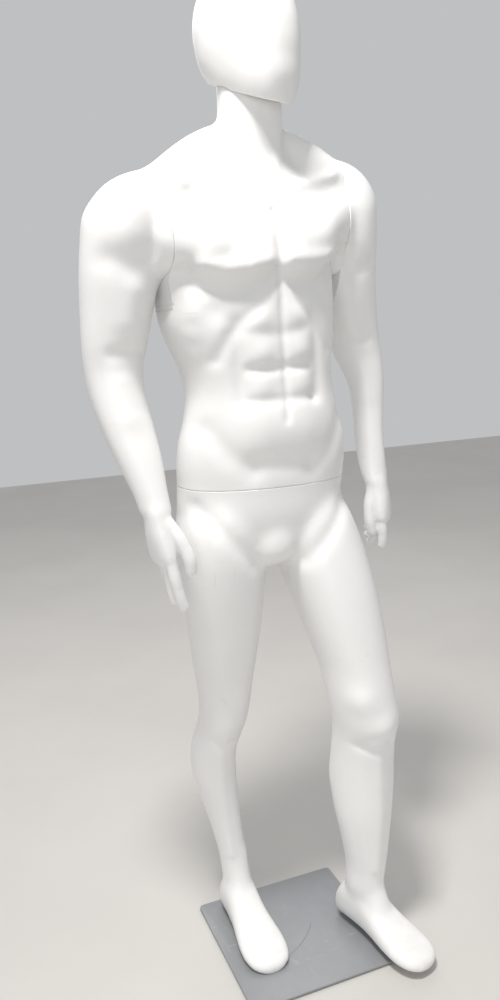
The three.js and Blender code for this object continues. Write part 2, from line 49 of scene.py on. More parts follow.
mm = 0.001
plateLow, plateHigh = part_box("base_plate")
plateMiddle = (plateLow + plateHigh) / 2
figureAxis = Vector((plateMiddle.x - 0.027, plateMiddle.y + 0.021, 0))  # the body's upright axis on the floor
toFrame = np.array(figureAxis)
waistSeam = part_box("legs_shell")[1].z
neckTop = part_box("torso_shell")[1].z
plateTop = plateHigh.z
coarse = 1
bodySquareness = 2.2  # 2 is an ellipse, more is boxier
smoothAngle = math.radians(35)  # sharper edges than this stay sharp
chamferSlant = 0.7  # how far a seam chamfer runs inwards for its height


def deselectAll():
    if bpy.context.mode != "OBJECT":
        bpy.ops.object.mode_set(mode="OBJECT")
    bpy.ops.object.select_all(action="DESELECT")


def makeActive(piece):
    deselectAll()
    piece.select_set(True)
    bpy.context.view_layer.objects.active = piece


def editAll(piece):
    makeActive(piece)
    bpy.ops.object.mode_set(mode="EDIT")
    bpy.ops.mesh.select_all(action="SELECT")


def applyModifier(piece, kind, **settings):
    makeActive(piece)
    modifier = piece.modifiers.new(kind.lower(), kind)
    for name, value in settings.items():
        setattr(modifier, name, value)
    bpy.ops.object.modifier_apply(modifier=modifier.name)


def cutAway(piece, cutter, solver="MANIFOLD"):
    applyModifier(piece, "BOOLEAN", operation="DIFFERENCE", object=cutter, solver=solver)
    bpy.data.objects.remove(cutter)


def readPoints(piece):
    points = np.empty(len(piece.data.vertices) * 3, np.float32)
    piece.data.vertices.foreach_get("co", points)
    return points.reshape(-1, 3).astype(float)


def readNormals(piece):
    normals = np.empty(len(piece.data.vertices) * 3, np.float32)
    piece.data.vertex_normals.foreach_get("vector", normals)
    return normals.reshape(-1, 3).astype(float)


def writePoints(piece, points):
    piece.data.vertices.foreach_set("co", points.astype(np.float32).ravel())
    piece.data.update()


def smoothRows(rows, steps):
    rows = np.array(rows, float)
    padded = np.vstack([rows[0], rows, rows[-1]])
    result = []
    for i in range(1, len(rows)):
        a, b, c, d = padded[i - 1:i + 3]
        for u in np.arange(steps) / steps:
            bend = 2 * a - 5 * b + 4 * c - d
            result.append(0.5 * (2 * b + (c - a) * u + bend * u * u + (3 * b - a - 3 * c + d) * u ** 3))
    result.append(rows[-1])
    return np.array(result)


def ovalShape(sides, squareness):
    angle = np.arange(sides) / sides * 2 * math.pi
    across, deep = np.cos(angle), np.sin(angle)
    power = 2 / squareness
    return np.sign(across) * np.abs(across) ** power, np.sign(deep) * np.abs(deep) ** power


def levelRings(rows, sides=48, steps=6):
    across, deep = ovalShape(sides, bodySquareness)
    rings = []
    for z, x, y, halfWidth, halfDepth, *turn in smoothRows(rows, steps):
        angle = math.radians(turn[0]) if turn else 0
        u, v = across * halfWidth, deep * halfDepth
        ring = [x + u * math.cos(angle) - v * math.sin(angle), y + u * math.sin(angle) + v * math.cos(angle)]
        rings.append(np.stack([*ring, np.full(sides, z)], axis=1))
    return np.array(rings)


def crossRings(rows, sides=40):
    across, deep = ovalShape(sides, bodySquareness)
    rings = []
    for x, y, z, halfDepth, halfHeight in smoothRows(rows, 6):
        rings.append(np.stack([np.full(sides, x), y + across * halfDepth, z + deep * halfHeight], axis=1))
    return np.array(rings)


def closedLoft(name, rings):
    count, sides, _ = rings.shape
    points = np.vstack([rings.reshape(-1, 3), rings[0].mean(0), rings[-1].mean(0)]) * mm
    first, last = count * sides, count * sides + 1
    faces = []
    for r in range(count - 1):
        for i in range(sides):
            j = (i + 1) % sides
            faces.append((r * sides + i, r * sides + j, (r + 1) * sides + j, (r + 1) * sides + i))
    for i in range(sides):
        j = (i + 1) % sides
        faces.append((first, j, i))
        faces.append((last, (count - 1) * sides + i, (count - 1) * sides + j))
    mesh = bpy.data.meshes.new(name)
    mesh.from_pydata(points.tolist(), [], faces)
    piece = bpy.data.objects.new(name, mesh)
    bpy.context.scene.collection.objects.link(piece)
    editAll(piece)
    bpy.ops.mesh.normals_make_consistent(inside=False)
    bpy.ops.object.mode_set(mode="OBJECT")
    return piece


def fuse(name, parts, voxel):
    deselectAll()
    for part in parts:
        part.select_set(True)
    bpy.context.view_layer.objects.active = parts[0]
    bpy.ops.object.join()
    piece = parts[0]
    applyModifier(piece, "REMESH", mode="VOXEL", voxel_size=voxel * coarse)
    piece.name = name
    piece.data.name = name
    return piece


# Evens out the skin. reach is how far a crease is rounded, strength scales it for each point.
def relax(piece, reach, strength=None):
    points = readPoints(piece)
    edges = np.empty(len(piece.data.edges) * 2, np.int32)
    piece.data.edges.foreach_get("vertices", edges)
    start, end = edges.reshape(-1, 2).T
    source, target = np.concatenate([start, end]), np.concatenate([end, start])
    neighbours = np.maximum(np.bincount(source, minlength=len(points)), 1)
    edgeLength = np.linalg.norm(points[start] - points[end], axis=1).mean()
    rounds = max(int(4 * reach ** 2 / edgeLength ** 2), 3)
    share = 0.5 if strength is None else 0.5 * strength[:, None]
    for _ in range(rounds):
        sums = [np.bincount(source, weights=points[target, k], minlength=len(points)) for k in range(3)]
        points += share * (np.stack(sums, axis=1) / neighbours[:, None] - points)
    writePoints(piece, points)


# Raises or sinks the skin along strokes: (facing, path, radius, height), all in millimetres.
# The distance to the path is measured as seen from facing.
def carve(piece, strokes):
    points, normals = readPoints(piece) / mm, readNormals(piece)
    lift = np.zeros(len(points))
    for facing, path, radius, height in strokes:
        view = np.array(facing, float)
        view /= np.linalg.norm(view)
        across = np.cross((0, 0, 1), view)
        across /= np.linalg.norm(across)
        upward = np.cross(view, across)
        flat = np.stack([points @ across, points @ upward], axis=1)
        route = [np.array([np.dot(spot, across), np.dot(spot, upward)]) for spot in np.array(path, float)]
        if len(route) == 1:
            route.append(route[0] + (0.01, 0))
        distance = np.full(len(points), 1e9)
        for a, b in zip(route, route[1:]):
            along = np.clip(((flat - a) @ (b - a)) / np.dot(b - a, b - a), 0, 1)
            distance = np.minimum(distance, np.linalg.norm(flat - a - along[:, None] * (b - a), axis=1))
        facingShare = np.clip((normals @ view - 0.05) / 0.5, 0, 1)
        lift += height * np.exp(-(distance / radius) ** 2) * facingShare
    writePoints(piece, (points + lift[:, None] * normals) * mm)


def bothSides(strokes):
    flipped = []
    for (x, y, z), path, radius, height in strokes:
        flipped.append(((-x, y, z), [(-px, py, pz) for px, py, pz in path], radius, height))
    return strokes + flipped


ends = {"chamfer": 1.3, "rimCorner": 0.4}


# Cuts a shell off at a plane with a small chamfer, and sinks the closed end behind a rim
def cutOpen(piece, spot, outward, rim, depth):
    chamfer = ends["chamfer"]
    outward = Vector(outward).normalized()
    editAll(piece)
    low = Vector(spot) - outward * chamfer * mm
    bpy.ops.mesh.bisect(plane_co=low, plane_no=outward, use_fill=True, clear_outer=True)
    bpy.ops.mesh.inset(thickness=chamferSlant * chamfer * mm, depth=chamfer * mm)
    bpy.ops.mesh.inset(thickness=rim * mm, depth=0)
    bpy.ops.mesh.inset(thickness=ends["rimCorner"] * mm, depth=-depth * mm)
    bpy.ops.object.mode_set(mode="OBJECT")


def settle(piece, body, slot, *nodes):
    points = readPoints(piece)
    writePoints(piece, points + toFrame)
    makeActive(piece)
    bpy.ops.object.shade_smooth_by_angle(angle=smoothAngle)
    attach(piece, body)
    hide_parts(*nodes)
    print(piece.name, "done:", len(piece.data.polygons), "faces")


# The spine carries the straight trunk
spine = {
    # height, sideways, backwards, turn, tilt in degrees
    "rows": [
        (800, 0, 0, 0, 0), (980, 1, 0, 0, 0), (1070, 2, 0, 1, 0), (1150, -3, 0, 3, 1), (1210, -8, 0, 5, 2.5),
        (1280, -17, 0, 8, 4), (1340, -18, 0, 9, 5), (1440, -15, 0, 9, 5), (1500, -7, 2, 7, 4),
        (1555, 3, 5, 3, 2), (1600, 6, 6, 0, 0), (1700, 6, 6, 0, 0)],
    "softening": 18,  # how far the rows are blended along the height
}
spineHeights = np.arange(700, 1800, 4.0)


def spineCurves():
    rows = np.array(spine["rows"], float)
    near = np.arange(-15, 16)
    kernel = np.exp(-((near * 4.0) / spine["softening"]) ** 2)
    kernel /= kernel.sum()
    curves = []
    for column in (1, 2, 3, 4):
        values = np.interp(spineHeights, rows[:, 0], rows[:, column])
        padded = np.pad(values, len(near) // 2, mode="edge")
        curves.append(np.convolve(padded, kernel, mode="valid"))
    return curves


spineValues = spineCurves()


def spineAt(height):
    sideways, back, turn, tilt = [np.interp(height, spineHeights, values) for values in spineValues]
    return sideways, back, np.radians(turn), np.tan(np.radians(tilt))


def bend(points):
    x, y, z = np.moveaxis(np.asarray(points, float), -1, 0)
    sideways, back, turn, slope = spineAt(z)
    bentX = x * np.cos(turn) - y * np.sin(turn) + sideways
    bentY = x * np.sin(turn) + y * np.cos(turn) + back
    return np.stack([bentX, bentY, z + x * slope], axis=-1)


def straighten(points):
    x, y, z = np.moveaxis(np.asarray(points, float), -1, 0)
    height = z.copy()
    for _ in range(12):
        sideways, back, turn, slope = spineAt(height)
        straightX = (x - sideways) * np.cos(turn) + (y - back) * np.sin(turn)
        straightY = (y - back) * np.cos(turn) - (x - sideways) * np.sin(turn)
        height = z - straightX * slope
    return np.stack([straightX, straightY, height], axis=-1)


# height, sideways, backwards, half width, half depth, before the spine bends them
trunkRows = [
    (822, 0, 14, 34, 44), (838, 0, 8, 66, 72), (862, 0, 10, 110, 92), (892, 0, 14, 146, 104),
    (930, 0, 12, 162, 110), (980, 0, 6, 162, 108), (1015, 0, 1, 164, 108), (1062, 0, -6, 161, 104),
    (1100, 0, -11, 150, 99), (1150, 0, -12, 141, 97), (1200, 0, -10, 146, 101), (1250, 0, -6, 160, 107),
    (1300, 0, -3, 169, 111), (1345, 0, 0, 171, 114), (1385, 0, 3, 174, 112), (1420, 0, 6, 177, 108),
    (1455, 0, 9, 175, 99), (1482, 0, 12, 166, 90), (1505, 0, 14, 142, 80), (1526, 0, 13, 108, 70),
    (1548, 0, 9, 74, 61), (1572, 0, 3, 57, 56), (1600, 0, 0, 55, 55), (1645, 0, 0, 55, 55),
    (1692, 0, 0, 55, 55), (1710, 0, 0, 55, 55)]
# sideways, backwards, height, half depth, half height
yokeRows = [
    (-205, 10, 1470, 54, 64), (-181, 10, 1482, 60, 62), (-140, 14, 1508, 62, 64), (-100, 18, 1532, 58, 63),
    (-58, 24, 1552, 48, 58), (0, 22, 1545, 48, 60), (58, 24, 1552, 48, 58), (100, 18, 1532, 58, 63),
    (140, 14, 1508, 62, 64), (181, 10, 1482, 60, 62), (205, 10, 1470, 54, 64)]
chestRows = [
    (-196, 0, 1430, 64, 60), (-150, -8, 1422, 78, 62), (-100, -8, 1410, 90, 60), (0, 6, 1400, 92, 56),
    (100, -8, 1410, 90, 60), (150, -8, 1422, 78, 62), (196, 0, 1430, 64, 60)]
backRows = [  # shoulder blades
    (-190, 26, 1430, 50, 66), (-140, 40, 1420, 62, 84), (-80, 44, 1420, 66, 96), (0, 34, 1420, 66, 100),
    (80, 44, 1420, 66, 96), (140, 40, 1420, 62, 84), (190, 26, 1430, 50, 66)]


def mirroredRings(rings, side):
    return rings * (side, 1, 1)


# rows: height, sideways, backwards, half width, half depth, turn in degrees
arms = {
    "left": {
        "side": 1,
        "lean": 0.2,  # how far the hand swings out going down
        "handTurn": 52, "bore": 39,
        "palm": 0.9,  # length of the palm against palmRows
        # place across the palm, start, length, curl, radius
        "fingers": [(-24, 72, 70, 9, 11), (-8, 76, 60, 34, 10.6), (9, 74, 50, 40, 10), (23, 68, 42, 40, 9)],
        "thumb": [(-14, 12, -6), (-24, 46, -17), (-31, 80, -22), (-30, 112, -22)],
        "rows": [
            (945, 260, 20, 30, 22, 40), (985, 255, 28, 28, 28, 10), (1040, 257, 42, 29, 36, -15),
            (1095, 263, 56, 32, 42, -20), (1145, 264, 65, 37, 46, -20), (1200, 251, 74, 47, 50, 0),
            (1245, 236, 70, 53, 54, 0), (1300, 219, 62, 60, 61, 0), (1360, 205, 52, 66, 67, 0),
            (1410, 199, 45, 71, 70, 0), (1450, 194, 41, 74, 70, 0), (1490, 194, 38, 71, 66, 0),
            (1520, 187, 34, 62, 56, 0), (1541, 180, 31, 48, 42, 0), (1553, 172, 28, 32, 28, 0),
            (1559, 165, 26, 13, 13, 0)],
    },
    "right": {
        "side": -1,
        "lean": -0.12,
        "handTurn": 80, "bore": 39,
        "palm": 1.0,
        "fingers": [
            (-26, 84, 98, 10, 11.5), (-8, 88, 84, 2, 11.5), (10, 86, 72, 22, 10.5), (25, 80, 58, 30, 9.5)],
        "thumb": [(-18, 14, -8), (-30, 48, -21), (-37, 84, -30), (-34, 116, -31)],
        "rows": [
            (950, 222, -50, 30, 22, 40), (985, 228, -42, 32, 27, 34), (1040, 239, -24, 41, 37, 22),
            (1095, 251, -6, 47, 45, 10), (1145, 261, 8, 49, 50, 0), (1195, 265, 12, 51, 50, 0),
            (1240, 261, 8, 57, 56, 0), (1300, 254, 2, 63, 63, 0), (1360, 246, -6, 69, 68, 0),
            (1410, 237, -12, 73, 72, 0), (1450, 227, -14, 77, 71, 0), (1480, 214, -13, 70, 64, 0),
            (1502, 203, -11, 58, 52, 0), (1517, 191, -9, 40, 36, 0), (1526, 180, -7, 16, 15, 0)],
    },
}
shoulder = {
    "spot": (181, 14, 1468), "reach": 10, "lean": {1: -4, -1: 0}, "gap": 0.4,
    "armpit": 1316, "stubFrom": 1348, "bore": 47, "boreDepth": 14, "chamfer": 0.8,
    "clearance": 1.2, "slope": 0.22}
palmRows = [  # distance from the wrist, half breadth, half thickness, shift towards the little finger
    (-12, 27, 22, 0), (12, 29, 22, 0), (40, 34, 22, 1), (66, 38, 20, 2), (86, 38, 17, 2), (96, 34, 12, 2)]
thumbRadius = 13.5


def seam(side):
    x, y, z = shoulder["spot"]
    middle = bend((side * x, y, z))
    outer = bend((side * (x + shoulder["reach"]), y, z))
    outer[2] += shoulder["reach"] * math.tan(math.radians(shoulder["lean"][side]))
    outward = (outer - middle) / np.linalg.norm(outer - middle)
    return middle, outward


def digit(name, joints, radius, side):
    joints = smoothRows(joints, 8)
    count = len(joints)
    tangents = np.gradient(joints, axis=0)
    tangents /= np.linalg.norm(tangents, axis=1)[:, None]
    angle = np.arange(20) / 20 * 2 * math.pi
    rings = []
    for i, (spot, tangent) in enumerate(zip(joints, tangents)):
        t = i / (count - 1)
        across = np.cross((0, 1, 0), tangent)
        across /= np.linalg.norm(across)
        deep = np.cross(tangent, across)
        tip = math.sqrt(max(1 - max((t - 0.86) / 0.145, 0) ** 2, 0.02))
        knuckle = 1 + 0.02 * math.cos(2 * math.pi * 3 * t)
        size = radius * (1.02 - 0.2 * t) * tip * knuckle
        rings.append(spot + np.outer(np.cos(angle), across) * size + np.outer(np.sin(angle), deep) * size)
    return closedLoft(name, mirroredRings(np.array(rings), side))


def handParts(arm):
    height, x, y, *_ = arm["rows"][0]
    side, angle = arm["side"], math.radians(arm["handTurn"])
    across = np.array([math.cos(angle), math.sin(angle), 0])
    back = np.array([math.sin(angle), -math.cos(angle), 0])
    down = np.array([arm["lean"], 0.02, -1])
    down /= np.linalg.norm(down)

    def spot(over, along, lift):
        return np.array([x, y, height]) + down * along + across * over + back * lift

    c, s = ovalShape(40, 2.4)
    rings = []
    for along, breadth, thick, shift in smoothRows(palmRows, 5):
        middle = spot(shift, along * arm["palm"], 0)
        rings.append(middle + np.outer(c, across) * breadth + np.outer(s, back) * thick)
    parts = [closedLoft("palm", mirroredRings(np.array(rings), side))]
    for over, start, length, curl, radius in arm["fingers"]:
        joints = [spot(over * 0.92, start - 16, 0), spot(over, start + length * 0.35, -curl * 0.15),
                  spot(over * 0.98, start + length * 0.72, -curl * 0.55),
                  spot(over * 0.94, start + length, -curl * 1.2)]
        parts.append(digit("finger", joints, radius, side))
    parts.append(digit("thumb", [spot(*place) for place in arm["thumb"]], thumbRadius, side))
    return parts


def shoulderParts(side):
    parts = []
    for rows in (yokeRows, chestRows, backRows):
        outer = [row for row in rows if row[0] * side >= 95]
        parts.append(closedLoft("shoulder", bend(crossRings(outer))))
    return parts


# Draws the sides in below the seams, so that an arm swings past them
def clearArmpits(piece):
    points = readPoints(piece) / mm
    for side in (1, -1):
        middle, outward = seam(side)
        armpit = bend((side * shoulder["spot"][0], 0, shoulder["armpit"]))[2]
        beyond = (points - middle) @ outward
        below = np.maximum(armpit - points[:, 2], 0)
        limit = -shoulder["clearance"] + shoulder["slope"] * below
        excess = np.where(points[:, 2] < armpit + 6, np.maximum(beyond - limit, 0), 0)
        points -= excess[:, None] * outward
    writePoints(piece, points * mm)


def bore(piece, spot, direction, radius, depth):
    deselectAll()
    bpy.ops.mesh.primitive_cylinder_add(
        vertices=96, radius=radius * mm, depth=2 * depth * mm, location=spot,
        rotation=direction.to_track_quat("Z", "Y").to_euler())
    cutter = bpy.context.object
    cutAway(piece, cutter)


# Cuts the torso at a shoulder seam above the armpit, bores it for the fittings and chamfers the edges
def cutShoulder(piece, side):
    middle, outward = [Vector(v) for v in seam(side)]
    armpit = (bend((side * shoulder["spot"][0], 0, shoulder["armpit"]))[2] - 7) * mm
    face = middle * mm - outward * shoulder["chamfer"] * mm
    turn = outward.to_track_quat("Z", "Y")
    deselectAll()
    bpy.ops.mesh.primitive_cube_add(size=0.8, location=face + outward * 0.4, rotation=turn.to_euler())
    cutter = bpy.context.object
    bpy.ops.object.transform_apply(location=True, rotation=True, scale=True)
    editAll(cutter)
    bpy.ops.mesh.bisect(plane_co=(0, 0, armpit), plane_no=(0, 0, -1), use_fill=True, clear_outer=True)
    bpy.ops.object.mode_set(mode="OBJECT")
    cutAway(piece, cutter)
    bore(piece, face, outward, shoulder["bore"], shoulder["boreDepth"])
    for polygon in piece.data.polygons:
        offset = (polygon.center - face).dot(outward)
        polygon.select = abs(offset) < 0.02 * mm and polygon.normal.dot(outward) > 0.999
    makeActive(piece)
    bpy.ops.object.mode_set(mode="EDIT")
    bpy.ops.mesh.select_mode(type="FACE")
    bpy.ops.mesh.inset(thickness=chamferSlant * shoulder["chamfer"] * mm, depth=shoulder["chamfer"] * mm)
    bpy.ops.object.mode_set(mode="OBJECT")


front, behind = (0, -1, 0), (0, 1, 0)
middleLine = 5


def onFront(*spots):
    return [(x, -100, z) for x, z in spots]


torsoStrokes = bothSides([
    (front, onFront((54, 1392), (96, 1396)), 44, 14),  # chest muscle
    (front, onFront((24, 1368), (58, 1362), (96, 1363), (128, 1378)), 16, 8),  # its lower roll
    (front, onFront((14, 1338), (45, 1328), (92, 1328), (128, 1344), (152, 1368)), 15, -10),
    (front, onFront((58, 1310), (104, 1300)), 26, -5),
    (front, onFront((22, 1316), (58, 1284), (92, 1252), (112, 1214)), 12, -3.5),  # rib arch
    (front, onFront((10, 1190), (58, 1192)), 9, -4.5),  # belly creases
    (front, onFront((10, 1136), (56, 1137)), 9, -3),
    (front, onFront((10, 1248), (60, 1256)), 10, -1.5),
    (front, onFront((36, 1218)), 22, 5),
    (front, onFront((35, 1163)), 21, 4),
    (front, onFront((33, 1276)), 22, 4),
    (front, onFront((80, 1275), (77, 1200), (72, 1140)), 15, -4.5),  # outer border of the belly muscle
    (front, onFront((132, 1088), (98, 1044), (58, 1012)), 20, -4),  # groin line
    (front, onFront((24, 1482), (84, 1497), (150, 1512)), 11, 3.5),  # collar bone
    (front, onFront((17, 1490), (34, 1556), (50, 1640)), 10, 2.5),  # neck muscle
    ((0.8, -0.6, 0), [(128, -60, 1296)], 16, 2),
    ((0.8, -0.6, 0), [(134, -55, 1260)], 16, 2),
    ((0.8, -0.6, 0), [(134, -50, 1226)], 16, 2),
    (behind, [(76, 100, 1404)], 46, 7),  # shoulder blade
    (behind, [(38, 100, 1460), (44, 100, 1350)], 15, -3),
    (behind, [(120, 100, 1300), (96, 100, 1220)], 34, 4),
    (behind, [(32, 100, 1200), (34, 100, 1060)], 20, 4.5),
]) + [
    (front, onFront((middleLine, 1352), (middleLine, 1450)), 9, -6),  # breastbone
    (front, onFront((middleLine, 1335), (middleLine, 1130), (2, 1100)), 6, -3.8),  # middle of the belly
    (front, onFront((62, 1135)), 10, -4),
    (front, onFront((-30, 1092), (30, 1092)), 50, 9),  # lower belly
    (front, onFront((-50, 1026), (50, 1020)), 20, -5),
    (front, onFront((2, 1492)), 14, -3),
    (behind, [(0, 100, 1000), (0, 100, 1470)], 12, -7),  # spine
]


torsoSkin = {"voxel": 3.0, "from": 892, "rounding": 11, "evening": 2.5, "seamEvening": 2}


def buildTorso():
    rows = [row for row in trunkRows if row[0] >= torsoSkin["from"]]
    parts = [closedLoft("trunk", levelRings(rows, sides=96))]
    for spans in (yokeRows, chestRows, backRows):
        parts.append(closedLoft("span", crossRings(spans, sides=64)))
    for arm in arms.values():
        rings = levelRings(arm["rows"])
        rings = mirroredRings(rings[rings[:, 0, 2] > shoulder["stubFrom"]], arm["side"])
        parts.append(closedLoft("stub", straighten(rings)))
    torso = fuse("torso_moulding", parts, torsoSkin["voxel"] * mm)
    relax(torso, torsoSkin["rounding"] * mm)
    carve(torso, torsoStrokes)
    relax(torso, torsoSkin["evening"] * mm)
    writePoints(torso, bend(readPoints(torso) / mm) * mm)
    clearArmpits(torso)
    relax(torso, torsoSkin["seamEvening"] * mm)
    for side in (1, -1):
        cutShoulder(torso, side)
    cutOpen(torso, (0, 0, waistSeam + shoulder["gap"] * mm), (0, 0, -1), rim=8, depth=14)
    cutOpen(torso, (0, 0, neckTop), (0, 0, 1), rim=9, depth=12)
    settle(torso, "torso", "moulded_shell", "torso_shell")
    return torso


armStrokes = {
    "left": [
        (front, [(205, -20, 1415), (214, -20, 1460)], 34, 3.5),  # shoulder muscle
        (front, [(168, 0, 1375), (200, 0, 1352), (236, 0, 1372)], 13, -4),
        (front, [(200, 0, 1300), (208, 0, 1262)], 22, 4),  # upper arm
        (front, [(206, 0, 1222), (242, 0, 1226)], 12, -3),
        (behind, [(226, 110, 1330), (236, 110, 1270)], 24, 4),
        (front, [(244, 0, 1165), (246, 0, 1120)], 20, 2.5),  # forearm
    ],
    "right": [
        (front, [(-246, -80, 1425), (-232, -80, 1465)], 36, 4),
        (front, [(-206, -60, 1380), (-240, -60, 1368), (-280, -60, 1378)], 22, -3.5),
        (front, [(-236, -60, 1325), (-244, -60, 1280)], 24, 5),
        (front, [(-226, -50, 1228), (-276, -50, 1226)], 13, -3),
        (behind, [(-262, 80, 1340), (-268, 80, 1280)], 26, 4),
        (front, [(-262, -50, 1175), (-254, -50, 1120)], 22, 3),
    ],
}


# the fine hand is rounded less: least share of the rounding, and the stretch over which it grows
armSkin = {"voxel": 1.8, "rounding": 10, "evening": 1.5, "least": 0.03, "below": 40, "stretch": 110}


def buildArm(which):
    arm = arms[which]
    side = arm["side"]
    limb = closedLoft("limb", mirroredRings(levelRings(arm["rows"]), side))
    parts = [limb] + handParts(arm) + shoulderParts(side)
    piece = fuse(which + "_arm_moulding", parts, armSkin["voxel"] * mm)
    points = readPoints(piece) / mm
    wrist = arm["rows"][0][0]
    strength = np.clip((points[:, 2] - wrist + armSkin["below"]) / armSkin["stretch"], armSkin["least"], 1)
    relax(piece, armSkin["rounding"] * mm, strength)
    relax(piece, armSkin["evening"] * mm)
    carve(piece, armStrokes[which])
    middle, outward = seam(side)
    start = (middle + outward * (shoulder["gap"] + shoulder["chamfer"])) * mm
    editAll(piece)
    bpy.ops.mesh.bisect(plane_co=start, plane_no=-outward, use_fill=True, clear_outer=True)
    bpy.ops.mesh.inset(thickness=chamferSlant * shoulder["chamfer"] * mm, depth=shoulder["chamfer"] * mm)
    bpy.ops.object.mode_set(mode="OBJECT")
    bore(piece, Vector(start), Vector(outward), arm["bore"], shoulder["boreDepth"])
    settle(piece, which + "_arm", "moulded_shell", which + "_arm_shell")
    return piece


# height, sideways, backwards, half width, half depth, turn in degrees
legs = {
    "right": [
        (82, -62, 88, 24, 30, 0), (108, -62, 86, 28, 37, 0), (150, -65, 90, 28, 38, 0),
        (215, -73, 97, 32, 44, 0), (285, -84, 102, 39, 52, 0), (350, -93, 102, 45, 58, 0),
        (410, -93, 94, 45, 59, 0),
        (460, -82, 78, 47, 57, 0), (495, -77, 66, 49, 58, 0), (540, -77, 56, 52, 60, 0),
        (610, -79, 43, 61, 69, 0), (690, -80, 29, 70, 79, 0), (770, -83, 17, 78, 88, 0),
        (845, -86, 9, 84, 95, 0), (905, -86, 8, 80, 98, 0), (950, -82, 8, 70, 90, 0)],
    "left": [
        (90, 164, -70, 28, 32, 18), (116, 166, -72, 33, 42, 20), (158, 170, -74, 35, 45, 22),
        (220, 170, -72, 43, 52, 24), (285, 168, -68, 51, 62, 25), (350, 168, -66, 54, 68, 25),
        (410, 168, -70, 54, 67, 24), (460, 168, -78, 55, 66, 22), (495, 168, -84, 60, 70, 20),
        (540, 161, -82, 62, 70, 18), (610, 152, -70, 66, 73, 15), (690, 138, -52, 76, 82, 12),
        (770, 121, -34, 83, 90, 8), (845, 103, -15, 86, 96, 4), (905, 90, 0, 82, 98, 0),
        (950, 82, 8, 70, 90, 0)],
}
feet = {
    # distance from the heel, half width, height of the top
    "rows": [
        (2, 15, 42), (12, 26, 62), (34, 32, 92), (62, 34, 108), (92, 35, 96), (122, 38, 72), (152, 43, 55),
        (182, 47, 43), (208, 47, 34), (232, 40, 27), (246, 26, 21), (251, 12, 15)],
    # height above the sole, distance from the heel, half width, half depth
    "instep": [(18, 122, 34, 40), (50, 106, 31, 39), (84, 92, 28, 37), (120, 82, 27, 36), (165, 76, 26, 36)],
    "right": {"heel": (-62, 139), "heading": 1, "lift": 0, "instepShift": -26},
    "left": {"heel": (150, 4), "heading": 15, "lift": 9, "instepShift": 2},
    "gap": 0.4,
    "under": 3,  # the round underside is cut flat by this much
}

bulgeRows = [
    (828, -6, -52, 20, 18), (834, -6, -54, 31, 27), (850, -6, -57, 41, 36), (880, -6, -57, 45, 39),
    (912, -5, -50, 38, 38), (940, -4, -42, 22, 28)]


def footParts(which):
    foot = feet[which]
    angle = math.radians(foot["heading"])
    across = np.array([math.cos(angle), math.sin(angle), 0])
    ahead = np.array([math.sin(angle), -math.cos(angle), 0])
    sole = plateTop / mm + feet["gap"] + foot["lift"]
    c, s = ovalShape(44, 2.6)
    rings = []
    for along, halfWidth, top in smoothRows(feet["rows"], 6):
        middle = np.array([*foot["heel"], sole + top / 2 - feet["under"]]) + ahead * along
        rings.append(middle + np.outer(c, across) * halfWidth + np.outer(s, (0, 0, 1)) * top / 2)
    instep = []
    for height, along, halfWidth, halfDepth in feet["instep"]:
        x, y = np.array(foot["heel"]) + ahead[:2] * (along + foot["instepShift"])
        instep.append((sole + height, x, y, halfWidth, halfDepth, foot["heading"]))
    return [closedLoft("foot", np.array(rings)), closedLoft("instep", levelRings(instep))]


legStrokes = [
    (front, [(150, -80, 950), (88, -90, 880), (46, -80, 836)], 16, -5),
    (front, [(-150, -80, 950), (-88, -90, 880), (-50, -80, 836)], 16, -5),
    (behind, [(72, 100, 918)], 50, 12),
    (behind, [(-72, 100, 918)], 50, 12),
    (behind, [(24, 100, 856), (100, 100, 858)], 14, -8),
    (behind, [(-24, 100, 856), (-100, 100, 858)], 14, -8),
    (behind, [(0, 100, 970), (0, 100, 850)], 9, -9),
    (front, [(-88, 20, 472)], 24, 4),  # right kneecap
    (front, [(-108, 26, 448), (-90, 30, 436), (-72, 31, 440)], 9, -3.5),
    (front, [(-60, 20, 540)], 22, 5),
    (front, [(-98, 36, 415), (-92, 50, 300), (-78, 50, 170)], 9, 3),
    (behind, [(-104, 160, 352)], 34, 6),
    (behind, [(-78, 160, 350)], 30, 5),
    ((0.25, -0.97, 0), [(172, -140, 494)], 26, 6),  # left kneecap
    ((0.25, -0.97, 0), [(138, -140, 456), (160, -140, 446), (192, -135, 458)], 9, -5),
    ((0.25, -0.97, 0), [(128, -140, 555)], 26, 5),
    ((0.25, -0.97, 0), [(172, -140, 425), (176, -130, 300), (172, -120, 170)], 10, 3),
    ((-0.3, 0.95, 0), [(150, 0, 352)], 36, 7),
    ((-0.3, 0.95, 0), [(186, 0, 350)], 32, 5),
]


legSkin = {
    "voxel": 3.6, "to": 1062, "rounding": 10, "evening": 2.5, "least": 0.12, "above": 20, "stretch": 120,
    "between": 60}  # between parts the two soles


